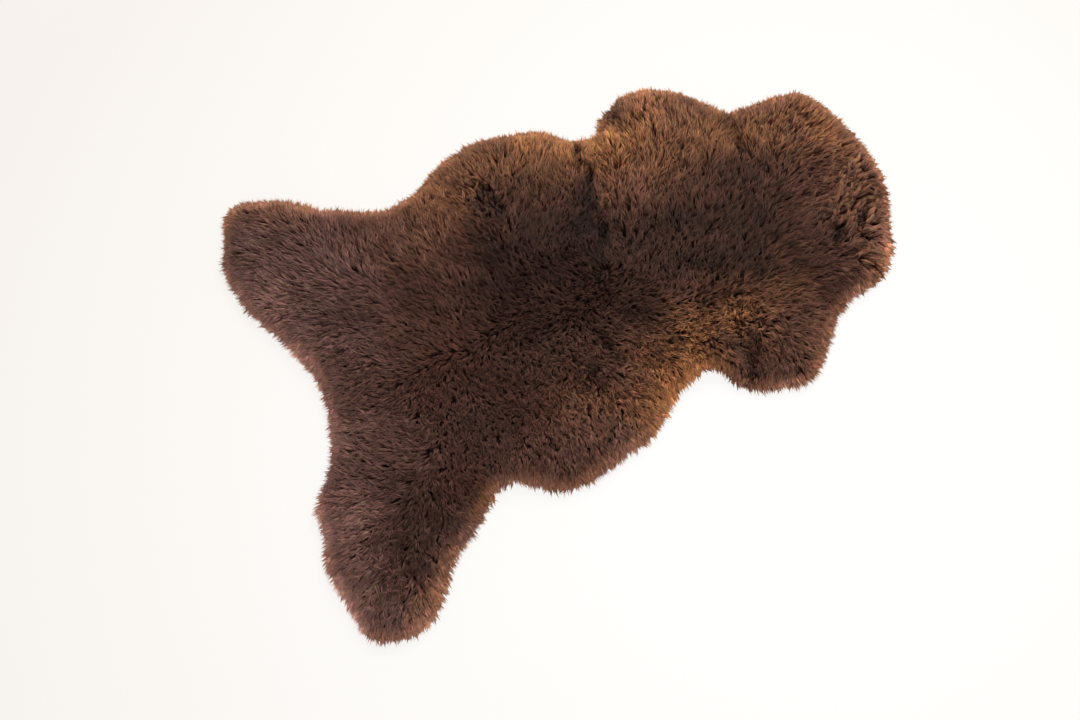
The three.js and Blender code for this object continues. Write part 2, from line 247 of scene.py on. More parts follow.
# Where the wool's tips are bleached gold, where a greyer, cooler brown is painted as the sheen of
# reflected light, and where painted shade darkens them (below 0: painted light).
Patch = namedtuple("Patch", "place along across reach gold cool dark")
PATCHES = [
    Patch("left hind leg, tip", -458, 350, 26, 1, 0.1, -0.2),
    Patch("left hind leg, far edge", -412, 340, 26, 1, 0, 0),
    Patch("left shank, far edge", -370, 312, 22, 0.8, 0, 0),
    Patch("left hind leg", -435, 250, 90, 0, 0.9, 0),
    Patch("left thigh", -380, 165, 80, 0, 0.8, 0),
    Patch("left loin, back", -361, 108, 30, 0, 0, 0.5),
    Patch("rump, left", -375, 55, 70, 0, 0.6, 0),
    Patch("rump, right", -425, -75, 60, 0, 0.7, 0),
    Patch("right thigh", -370, -85, 80, 0, 0.2, -0.15),
    Patch("right shank", -460, -190, 60, 0, 0.8, -0.45),
    Patch("right hind leg, rim", -500, -275, 50, 0, 0.7, -0.4),
    Patch("left groin", -235, 180, 50, 0.2, 0.2, 0.15),
    Patch("left flank, back", -155, 238, 60, 0.4, 0, -0.2),
    Patch("left flank, rim", -80, 280, 45, 0.55, 0.1, 0),
    Patch("left flank", -40, 235, 50, 0.4, 0, 0),
    Patch("left flank, far rim", 20, 270, 34, 1, 0, 0),
    Patch("left flank, corner", 65, 235, 34, 1, 0, 0),
    Patch("left waist", 120, 218, 36, 1, 0, -0.2),
    Patch("left flank, front", 20, 200, 40, 0.3, 0, 0.3),
    Patch("left foreleg, back", 160, 210, 42, 0.9, 0, -0.2),
    Patch("left foreleg", 190, 160, 50, 0.55, 0, 0.1),
    Patch("left foreleg, tip", 232, 248, 45, 0.6, 0.1, -0.5),
    Patch("left foreleg, front", 280, 165, 45, 0.65, 0, 0.2),
    Patch("left shoulder, rim", 112, 140, 32, 0.15, 0, -0.6),
    Patch("left shoulder", 180, 92, 45, 0.1, 0, 0.45),
    Patch("neck dip", 325, 145, 36, 0.7, 0, 0.35),
    Patch("neck, left", 375, 130, 40, 0.75, 0, 0.2),
    Patch("neck, corner", 465, 95, 45, 0.7, 0, -0.25),
    Patch("neck, left middle", 392, 70, 30, 0.2, 0, 0.2),
    Patch("neck, left low", 285, 66, 44, 0.1, 0, 0.6),
    Patch("neck, front", 490, 25, 36, 0.4, 0.1, -0.45),
    Patch("neck curls", 445, -35, 45, 0.35, 0.1, 0.35),
    Patch("neck curls, low", 380, -72, 40, 0.1, 0.1, 0.65),
    Patch("neck, front rim", 462, -105, 36, 0.3, 0.3, -0.5),
    Patch("neck, right corner", 447, -145, 28, 0.4, 0.1, -0.6),
    Patch("neck, right notch", 385, -162, 24, 0.1, 0.4, -0.45),
    Patch("neck, right", 340, -112, 38, 0.05, 0.1, 0.4),
    Patch("neck, hollow", 357, -10, 32, 0, 0, -0.2),
    Patch("right foreleg, rim", 292, -236, 36, 0.4, 0.2, -0.45),
    Patch("right foreleg, tip", 215, -254, 30, 0, 0.45, -0.5),
    Patch("right foreleg", 240, -205, 60, 0.25, 0.3, 0),
    Patch("right foreleg, back", 165, -180, 24, 0, 0.4, 0.75),
    Patch("right foreleg, gap", 185, -210, 25, 0, 0.2, 0.3),
    Patch("right shoulder curls", 190, -138, 34, 0.85, 0, -0.28),
    Patch("right shoulder", 105, -140, 45, 0.75, 0, 0),
    Patch("right waist", 50, -195, 45, 0.95, 0, -0.25),
    Patch("right belly, rim", -5, -230, 40, 0.7, 0.15, -0.1),
    Patch("right belly", -85, -190, 50, 0.5, 0.25, -0.45),
    Patch("right belly, low rim", -62, -232, 26, 0, 0.5, 0.2),
    Patch("right belly, low", -140, -205, 50, 0.15, 0.35, -0.05),
    Patch("right flank", 20, -160, 36, 0.5, 0, -0.2),
    Patch("right flank, hollow", -22, -142, 24, 0.1, 0.3, 0.25),
    Patch("right hind leg, front", -395, -340, 32, 0.85, 0.1, -0.1),
    Patch("right shank, front", -360, -310, 24, 0.65, 0.15, -0.1),
    Patch("right hind leg, low front", -425, -370, 24, 0.6, 0.2, -0.2),
    Patch("right hind leg, tip", -462, -325, 44, 0, 0.8, -0.12),
    Patch("right hind leg, low", -405, -262, 36, 0, 0.2, 0.45),
    Patch("right thigh, front", -320, -258, 30, 0.1, 0.4, 0.42),
    Patch("right groin", -265, -235, 18, 0.5, 0.1, 0),
    Patch("backbone, hollow", -5, 40, 60, 0, 0, 0.4),
    Patch("whorl", -72, 200, 34, 0, 0.1, 0.55),
    Patch("whorl, beside", -26, 184, 34, 0.05, 0, 0.75),
    Patch("shoulder parting, high", 58, 146, 34, 0, 0, 0.95),
    Patch("shoulder parting, low", 42, 100, 34, 0, 0, 0.65),
    Patch("left flank, low", -105, 130, 55, 0, 0, 0.35),
    Patch("left flank, front low", -20, 122, 45, 0.1, 0, 0.58),
    Patch("loin", -130, 62, 36, 0, 0, 0.5),
    Patch("withers", 80, -10, 36, 0, 0, 0.15),
    Patch("right shank, middle", -385, -240, 40, 0, 0.1, 0.15),
    Patch("right foreleg, notch", 150, -222, 24, 0, 0.3, -0.35),
    Patch("right chest, rim", 318, -190, 24, 0.2, 0.2, -0.3),
    Patch("left hind leg, middle", -440, 306, 34, 0, 0.1, -0.35),
    Patch("saddle, right", 50, -66, 32, 0, 0.05, 0.55),
    Patch("loin, right", -115, -38, 60, 0, 0.2, 0.42),
    Patch("right thigh, low", -345, -110, 40, 0, 0.2, 0.15),
    Patch("right hind leg, middle", -385, -190, 34, 0, 0.2, 0.48),
    Patch("neck, base", 310, 32, 40, 0, 0, 0.38),
    Patch("neck, base right", 290, -18, 40, 0, 0, 0.5),
    Patch("right of the waist", 38, -126, 26, 0.2, 0, -0.35),
    Patch("right hind leg, haze", -375, -275, 40, 0, 0.4, 0.25),
    Patch("withers, left", 110, 25, 34, 0, 0, 0.55),
    Patch("whorl, below", -47, 140, 34, 0, 0, 0.25),
    Patch("left loin, low", -276, 74, 30, 0, 0, 0.22),
    Patch("right hip, front", -243, -198, 26, 0, 0.1, 0.2),
    Patch("right belly, back rim", -162, -234, 26, 0, 0.1, 0.2),
    Patch("right foreleg, middle", 207, -195, 24, 0.2, 0, -0.35),
    Patch("left foreleg, low", 220, 132, 24, 0.1, 0, -0.35),
    Patch("neck, left corner", 444, 152, 30, 0.4, 0, -0.35),
    Patch("saddle, front", 10, 2, 30, 0, 0, -0.35),
    Patch("right shoulder, front", 229, -152, 26, 0.3, 0, -0.3),
    Patch("saddle, right back", 19, -58, 26, 0, 0, 0.5),
    Patch("withers, back", 45, 44, 34, 0, 0, 0.42),
    Patch("right hip, low", -230, -146, 38, 0, 0.1, 0.38),
    Patch("right thigh, back", -404, -126, 34, 0, 0.2, 0.22),
    Patch("neck, base right low", 290, -66, 22, 0.12, 0, -0.2),
    Patch("right chest, low", 295, -127, 24, 0.25, 0, -0.25),
    Patch("right hip, front low", -248, -96, 34, 0, 0.25, 0.05),
    Patch("right flank, rim", 19, -163, 24, 0, 0.3, 0),
    Patch("loin, right back", -188, -71, 30, 0, 0, 0.22),
]

# The same along a line from start to end.
Band = namedtuple("Band", "place start end reach gold cool dark")
BANDS = [
    Band("left of the back", (-100, 115), (50, 95), 40, 0, 0, 0.72),
    Band("shoulders", (150, 55), (320, -10), 38, 0.14, 0, 0.84),
    Band("right of the back", (-110, 70), (30, 40), 34, 0, 0, 0.52),
    Band("withers", (150, -20), (265, -62), 36, 0.18, 0, 0.97),
    Band("neck, right low", (190, -75), (310, -110), 34, 0.22, 0, 0.6),
    Band("base of the neck", (240, 105), (350, 75), 36, 0, 0, 0.5),
    Band("left loin", (-260, 125), (-185, 40), 32, 0, 0, 0.28),
    Band("saddle", (-150, -60), (60, -95), 36, 0.1, 0.2, 0.08),
    Band("right chest", (80, -105), (230, -145), 28, 0.2, 0, -0.05),
    Band("left shank rim", (-480, 235), (-425, 80), 32, 0, 0.3, -0.28),
    Band("rump rim", (-470, 170), (-420, -40), 34, 0, 0.4, -0.35),
    Band("right shank rim", (-475, -130), (-505, -330), 34, 0, 0.5, -0.35),
    Band("right flank rim", (140, -170), (-40, -225), 34, 0.5, 0, -0.35),
    Band("right belly rim", (-30, -250), (-235, -205), 28, 0.1, 0.3, -0.05),
    Band("right hip", (-230, -150), (-400, -150), 36, 0, 0.2, -0.05),
    Band("right hind leg, front rim", (-320, -275), (-430, -365), 24, 0.2, 0.3, -0.3),
    Band("neck rim", (510, 90), (420, -170), 26, 0.15, 0.1, 0),
    Band("left of the withers", (90, 75), (240, 15), 30, 0, 0, 0.38),
    Band("saddle, middle", (-130, -10), (50, -65), 38, 0, 0, 0.38),
    Band("along the back", (-130, 32), (290, -60), 55, 0, 0, 0.38),
]


def smooth_noise(points, size, seed):
    """Smooth random values from -1 to 1, with hills about one size apart."""
    side = 64
    lattice = np.random.default_rng(seed).uniform(-1.0, 1.0, (side, side))
    u = points[:, 0] / size
    v = points[:, 1] / size
    column = np.floor(u).astype(int)
    row = np.floor(v).astype(int)
    fu = u - column
    fv = v - row
    fu = fu * fu * (3.0 - 2.0 * fu)
    fv = fv * fv * (3.0 - 2.0 * fv)
    left = column % side
    right = (column + 1) % side
    low = row % side
    high = (row + 1) % side
    bottom = lattice[low, left] * (1.0 - fu) + lattice[low, right] * fu
    top = lattice[high, left] * (1.0 - fu) + lattice[high, right] * fu
    return bottom * (1.0 - fv) + top * fv


def smoothstep(low, high, value):
    share = np.clip((value - low) / (high - low), 0.0, 1.0)
    return share * share * (3.0 - 2.0 * share)


def unit(vectors):
    return vectors / np.maximum(np.linalg.norm(vectors, axis=-1, keepdims=True), 1e-9)


def dot(a, b):
    return np.sum(a * b, axis=-1, keepdims=True)


class HeightMap:
    """Heights of a CAD node's upper or lower surface, read on a grid and spread past its edge."""

    STEP = 5.0
    MARGIN = 60.0

    def __init__(self, node, from_above):
        low, high = [np.array(corner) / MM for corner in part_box(node)]
        self.origin = low[:2] - self.MARGIN
        count = np.ceil((high[:2] - low[:2] + 2.0 * self.MARGIN) / self.STEP).astype(int) + 1
        solid = bmesh.new()
        solid.from_mesh(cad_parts[node].data)
        tree = BVHTree.FromBMesh(solid)
        solid.free()
        start = 1.0 if from_above else -1.0
        toward = Vector((0.0, 0.0, -start))
        heights = np.full((count[1], count[0]), np.nan)
        for row in range(count[1]):
            for column in range(count[0]):
                x, y = self.origin + self.STEP * np.array([column, row])
                hit = tree.ray_cast(Vector((x * MM, y * MM, start)), toward)[0]
                if hit is not None:
                    heights[row, column] = hit.z / MM
        self.heights = self.spread(heights)

    @staticmethod
    def spread(heights):
        while np.isnan(heights).any():
            padded = np.pad(heights, 1, constant_values=np.nan)
            near = np.stack([padded[:-2, 1:-1], padded[2:, 1:-1], padded[1:-1, :-2], padded[1:-1, 2:]])
            known = ~np.isnan(near)
            mean = np.nansum(near, axis=0) / np.maximum(known.sum(axis=0), 1)
            fill = np.isnan(heights) & known.any(axis=0)
            heights = np.where(fill, mean, heights)
        return heights

    def at(self, x, y):
        u = np.clip((x - self.origin[0]) / self.STEP, 0.0, self.heights.shape[1] - 1.001)
        v = np.clip((y - self.origin[1]) / self.STEP, 0.0, self.heights.shape[0] - 1.001)
        column = u.astype(int)
        row = v.astype(int)
        fu = u - column
        fv = v - row
        grid = self.heights
        bottom = grid[row, column] * (1.0 - fu) + grid[row, column + 1] * fu
        top = grid[row + 1, column] * (1.0 - fu) + grid[row + 1, column + 1] * fu
        return bottom * (1.0 - fv) + top * fv


def hide_edge():
    """The CAD hide's outline, anticlockwise, as points an even distance apart."""
    solid = bmesh.new()
    solid.from_mesh(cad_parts["hide"].data)
    bmesh.ops.remove_doubles(solid, verts=solid.verts, dist=1e-6)
    solid.normal_update()
    solid.verts.index_update()
    solid.verts.ensure_lookup_table()
    links = {}
    for edge in solid.edges:
        down = [face.normal.z < -0.5 for face in edge.link_faces]
        if len(down) == 2 and down[0] != down[1]:
            a, b = edge.verts
            links.setdefault(a.index, []).append(b.index)
            links.setdefault(b.index, []).append(a.index)
    places = {index: solid.verts[index].co.copy() for index in links}
    solid.free()
    first = next(iter(links))
    chain = [first, links[first][0]]
    while True:
        ahead = [index for index in links[chain[-1]] if index != chain[-2]]
        if ahead[0] == first:
            break
        chain.append(ahead[0])
    loop = np.array([(places[index].x, places[index].y) for index in chain]) / MM
    if signed_area(loop) < 0.0:
        loop = loop[::-1]
    return smooth_loop(resample(loop, EDGE_SPACING), 2)


def signed_area(loop):
    following = np.roll(loop, -1, axis=0)
    return 0.5 * np.sum(loop[:, 0] * following[:, 1] - following[:, 0] * loop[:, 1])


def resample(loop, spacing):
    closed = np.vstack([loop, loop[:1]])
    length = np.concatenate([[0.0], np.cumsum(np.linalg.norm(np.diff(closed, axis=0), axis=1))])
    count = int(round(length[-1] / spacing))
    stations = np.arange(count) * length[-1] / count
    return np.stack([np.interp(stations, length, closed[:, axis]) for axis in (0, 1)], axis=1)


def smooth_loop(loop, passes):
    for _ in range(passes):
        loop = 0.5 * loop + 0.25 * (np.roll(loop, 1, axis=0) + np.roll(loop, -1, axis=0))
    return loop


def loop_normals(loop):
    """Outward directions in the plane, smoothed so that rings beside a loop don't cross."""
    along = np.roll(loop, -1, axis=0) - np.roll(loop, 1, axis=0)
    outward = unit(np.stack([along[:, 1], -along[:, 0]], axis=1))
    return unit(smooth_loop(outward, 4))


class Outline:
    """A closed loop that gives the distance inside it, and the way out, for many points."""

    CHUNK = 4000

    def __init__(self, loop):
        self.loop = loop
        self.normals = loop_normals(loop)
        self.start = loop
        self.span = np.roll(loop, -1, axis=0) - loop
        self.square = np.sum(self.span ** 2, axis=1)

    def measure(self, points):
        """For each point: its distance inside the loop (negative outside), and the way out."""
        depths = np.empty(len(points))
        outward = np.empty((len(points), 2))
        for first in range(0, len(points), self.CHUNK):
            part = slice(first, first + self.CHUNK)
            depths[part], outward[part] = self.measure_part(points[part])
        return depths, outward

    def measure_part(self, points):
        offset = points[:, None, :] - self.start[None]
        share = np.clip(np.sum(offset * self.span[None], axis=2) / self.square, 0.0, 1.0)
        offset = offset - share[..., None] * self.span[None]
        square = np.sum(offset ** 2, axis=2)
        nearest = np.argmin(square, axis=1)
        rows = np.arange(len(points))
        distance = np.sqrt(square[rows, nearest])
        x = points[:, 0][:, None]
        y = points[:, 1][:, None]
        y0 = self.start[:, 1][None]
        rise = self.span[:, 1][None]
        crosses = (y0 > y) != (y0 + rise > y)
        safe = np.where(crosses, rise, 1.0)
        at = self.start[:, 0][None] + self.span[:, 0][None] * (y - y0) / safe
        inside = np.sum(crosses & (x < at), axis=1) % 2 == 1
        follow = (nearest + 1) % len(self.loop)
        part = share[rows, nearest][:, None]
        out = unit(self.normals[nearest] * (1.0 - part) + self.normals[follow] * part)
        return np.where(inside, distance, -distance), out


def ringed_surface(loop, insets, grid):
    """Points and triangles that fill a loop: rings at the given insets, then a grid inside."""
    normals = loop_normals(loop)
    count = len(loop)
    rings = [loop - normals * inset for inset in insets]
    triangles = []
    for ring in range(len(insets) - 1):
        for index in range(count):
            follow = (index + 1) % count
            a = ring * count + index
            b = ring * count + follow
            c = (ring + 1) * count + follow
            d = (ring + 1) * count + index
            triangles += [(a, b, c), (a, c, d)]
    outline = Outline(rings[-1])
    low = rings[-1].min(axis=0)
    high = rings[-1].max(axis=0)
    xs = np.arange(low[0], high[0], grid)
    ys = np.arange(low[1], high[1], grid * 0.866)
    x, y = np.meshgrid(xs, ys)
    x = x + (np.arange(len(ys)) % 2)[:, None] * grid * 0.5
    inner = np.stack([x.ravel(), y.ravel()], axis=1)
    inner = inner[outline.measure(inner)[0] > grid * 0.6]
    points = [Vector(point) for point in np.vstack([rings[-1], inner])]
    edges = [(index, (index + 1) % count) for index in range(count)]
    filled = delaunay_2d_cdt(points, edges, [], 1, 1e-6)
    shift = count * (len(insets) - 1)
    for face in filled[2]:
        triangles.append(tuple(index + shift for index in face))
    return np.vstack(rings[:-1] + [rings[-1], inner]), np.array(triangles)


def upward(points, triangles):
    """The same triangles, all anticlockwise from above."""
    a = points[triangles[:, 0]]
    b = points[triangles[:, 1]]
    c = points[triangles[:, 2]]
    turn = (b[:, 0] - a[:, 0]) * (c[:, 1] - a[:, 1]) - (b[:, 1] - a[:, 1]) * (c[:, 0] - a[:, 0])
    flipped = triangles.copy()
    flipped[turn < 0.0] = flipped[turn < 0.0][:, ::-1]
    return flipped


def make_mesh(name, points, triangles, attributes, uv=None):
    """A piece from arrays: points in millimetres, triangles, and named values at the points."""
    mesh = bpy.data.meshes.new(name)
    mesh.vertices.add(len(points))
    mesh.vertices.foreach_set("co", (points * MM).astype(np.float32).ravel())
    mesh.loops.add(3 * len(triangles))
    mesh.loops.foreach_set("vertex_index", triangles.astype(np.int32).ravel())
    mesh.polygons.add(len(triangles))
    mesh.polygons.foreach_set("loop_start", np.arange(0, 3 * len(triangles), 3, dtype=np.int32))
    for label, values in attributes.items():
        layer = mesh.attributes.new(label, "FLOAT", "POINT")
        layer.data.foreach_set("value", values.astype(np.float32).ravel())
    if uv is not None:
        layer = mesh.uv_layers.new(name="OFBake")
        layer.uv.foreach_set("vector", uv.astype(np.float32).ravel())
    mesh.update(calc_edges=True)
    mesh.validate()
    mesh.polygons.foreach_set("use_smooth", np.ones(len(mesh.polygons), dtype=bool))
    piece = bpy.data.objects.new(name, mesh)
    bpy.context.scene.collection.objects.link(piece)
    return piece


def make_skin(outline, underside):
    """The tanned skin: a thin closed sheet with a softly rounded cut edge."""
    insets = [0.0, SKIN_EDGE, 4.0]
    near = nearness(outline.loop, NOTCHES, np.array([row.reach for row in NOTCHES], dtype=float))
    bare = near @ np.array([row.bare for row in NOTCHES], dtype=float)
    loop = outline.loop + outline.normals * bare[:, None]
    flat, triangles = ringed_surface(loop, insets, SKIN_GRID)
    triangles = upward(flat, triangles)
    count = len(outline.loop)
    foot = underside.at(flat[:, 0], flat[:, 1])
    rim = np.zeros(len(flat))
    rim[:count] = 1.0
    top = np.column_stack([flat, foot + SKIN_THICKNESS - rim * SKIN_EDGE])
    bottom = np.column_stack([flat, foot + rim * SKIN_EDGE])
    size = len(flat)
    edge = []
    for index in range(count):
        follow = (index + 1) % count
        edge += [(index + size, follow + size, follow), (index + size, follow, index)]
    faces = np.vstack([triangles, triangles[:, ::-1] + size, np.array(edge)])
    return make_mesh("skin", np.vstack([top, bottom]), faces, {})


class Base:
    """The underwool: a closed mass whose upper surface carries the roots of the strands."""

    def __init__(self, edge, top_map, underside):
        out = BASE_OUT - 0.6 * np.maximum(wool_short(edge.loop), 0.0)
        wall = smooth_loop(edge.loop + edge.normals * out[:, None], 3)
        self.outline = Outline(resample(wall, EDGE_SPACING))
        flat, triangles = ringed_surface(self.outline.loop, BASE_RINGS, BASE_GRID)
        self.triangles = upward(flat, triangles)
        count = len(self.outline.loop)
        depth = self.outline.measure(flat)[0]
        depth[:count * len(BASE_RINGS)] = np.repeat(BASE_RINGS, count)
        inside = np.clip(depth / BASE_FOOT["over"], 0.0, 1.0)
        lift = underside.at(flat[:, 0], flat[:, 1])
        foot = lift + BASE_FOOT["rim"] + (BASE_FOOT["inside"] - BASE_FOOT["rim"]) * inside
        deep = smoothstep(0.0, PILE_DEPTH["over"], depth)
        pile = PILE_DEPTH["rim"] + (PILE_DEPTH["inside"] - PILE_DEPTH["rim"]) * deep
        crown = np.maximum(top_map.at(flat[:, 0], flat[:, 1]) - pile, foot + 4.0)
        around = np.clip(1.0 - depth / BASE_SHOULDER, 0.0, 1.0)
        self.top = np.column_stack([flat, foot + (crown - foot) * np.sqrt(1.0 - around ** 2)])
        self.bottom = np.column_stack([flat, foot])
        self.count = count

    def make(self):
        size = len(self.top)
        under = self.triangles[:, ::-1] + size
        under = np.where(under < size + self.count, under - size, under)
        faces = np.vstack([self.triangles, under])
        used = np.concatenate([np.arange(size), np.arange(size + self.count, 2 * size)])
        place = np.full(2 * size, -1)
        place[used] = np.arange(len(used))
        return make_mesh("underwool", np.vstack([self.top, self.bottom])[used], place[faces], {})

    def scattered(self, samples):
        """Random points all over the upper surface, with the surface's direction at each."""
        corners = self.top[self.triangles]
        cross = np.cross(corners[:, 1] - corners[:, 0], corners[:, 2] - corners[:, 0])
        area = 0.5 * np.linalg.norm(cross, axis=1)
        normals = np.zeros_like(self.top)
        for corner in range(3):
            np.add.at(normals, self.triangles[:, corner], cross)
        normals = unit(normals)
        chosen = np.searchsorted(np.cumsum(area) / area.sum(), rng.random(samples))
        chosen = np.minimum(chosen, len(area) - 1)
        first = np.sqrt(rng.random(samples))[:, None]
        second = rng.random(samples)[:, None]
        weights = np.concatenate([1.0 - first, first * (1.0 - second), first * second], axis=1)
        points = np.einsum("nk,nkd->nd", weights, corners[chosen])
        slopes = np.einsum("nk,nkd->nd", weights, normals[self.triangles[chosen]])
        return points, unit(slopes)


def thinned(points, cell):
    """Indices of one point in each cell of space, so that none crowd together."""
    cells = np.floor(points / cell).astype(np.int64)
    cells -= cells.min(axis=0)
    key = (cells[:, 0] * 4096 + cells[:, 1]) * 4096 + cells[:, 2]
    return np.unique(key, return_index=True)[1]


def nearness(points, rows, reach):
    """How near each point is to each row's place, from 0 to 1."""
    places = np.array([(row.along, row.across) for row in rows], dtype=float)
    square = np.sum((points[:, None, :2] - places[None]) ** 2, axis=2)
    return np.exp(-square / np.square(reach))


def wool_heading(points):
    """The wool's lie at each point, in radians, from the table of headings."""
    weight = nearness(points, FLOW, FLOW_REACH) + 1e-12
    angle = np.radians([row.heading for row in FLOW])
    lie = np.arctan2(weight @ np.sin(angle), weight @ np.cos(angle))
    swirl = smooth_noise(points, 55.0, 11)
    ripple = smooth_noise(points, 18.0, 12)
    return lie + np.radians(16.0) * swirl + np.radians(22.0) * ripple


def wool_stand(points):
    """Lean, length, curl, tuft share, stray and roughness at each point, from the table of stands."""
    reach = np.array([row.reach for row in STANDS], dtype=float)
    weight = nearness(points, STANDS, reach)
    rest = np.maximum(1.0 - weight.sum(axis=1), 0.05)
    total = weight.sum(axis=1) + rest
    fields = ["lean", "length", "curl", "tuft", "stray", "rough"]
    values = []
    for field in fields:
        column = np.array([getattr(row, field) for row in STANDS], dtype=float)
        values.append((weight @ column + rest * getattr(EVERYWHERE, field)) / total)
    return values


def from_line(points, row):
    """The way to each point from the nearest place on a row's line."""
    start = np.array(row.start, dtype=float)
    span = np.array(row.end) - start
    offset = points[:, :2] - start
    share = np.clip(offset @ span / (span @ span), 0.0, 1.0)
    return offset - share[:, None] * span


def wool_tint(points):
    """Gold share, painted sheen share, and the lightness with painted light and shade at each point, from
    the tables of patches and bands.
    """
    reach = np.array([row.reach for row in PATCHES], dtype=float)
    wander = np.stack([smooth_noise(points, 22.0, seed) for seed in (21, 22)], axis=1)
    moved = points[:, :2] + 14.0 * wander
    weight = nearness(moved, PATCHES, reach)
    lines = [np.exp(-np.sum(from_line(moved, row) ** 2, axis=1) / row.reach ** 2) for row in BANDS]
    weight = np.column_stack([weight] + lines)
    rows = PATCHES + BANDS
    gold = np.prod(1.0 - weight * np.array([row.gold for row in rows]), axis=1)
    cool = np.prod(1.0 - weight * np.array([row.cool for row in rows]), axis=1)
    # Painted shade where a row's dark value is above 0, painted light where it is below.
    light = np.prod(1.0 - 0.75 * weight * np.array([row.dark for row in rows]), axis=1)
    return 1.0 - gold, 1.0 - cool, light


def wool_gap(points):
    """How deep each point is in a parting, from 0 to 1, and the way out of it."""
    deepest = np.zeros(len(points))
    away = np.zeros((len(points), 3))
    for row in PARTINGS:
        offset = from_line(points, row)
        broken = 0.8 + 0.5 * smooth_noise(points, 13.0, 41)
        gap = np.minimum(row.depth * broken, 1.0) * np.exp(-np.sum(offset ** 2, axis=1) / row.reach ** 2)
        deeper = gap > deepest
        deepest = np.where(deeper, gap, deepest)
        away[deeper, :2] = unit(offset)[deeper]
    return deepest, away


def wool_short(points):
    """How far short of its usual reach the wool ends near each point."""
    weight = nearness(points, NOTCHES, np.array([row.reach for row in NOTCHES], dtype=float))
    return weight @ np.array([row.short for row in NOTCHES], dtype=float)


def spread(count, limit=2.0):
    """Bell-shaped random values without the far ends."""
    return np.clip(rng.standard_normal(count), -limit, limit)


def nearest_of(points, centres):
    tree = KDTree(len(centres))
    for index, centre in enumerate(centres):
        tree.insert(centre, index)
    tree.balance()
    return np.array([tree.find(point)[1] for point in points])


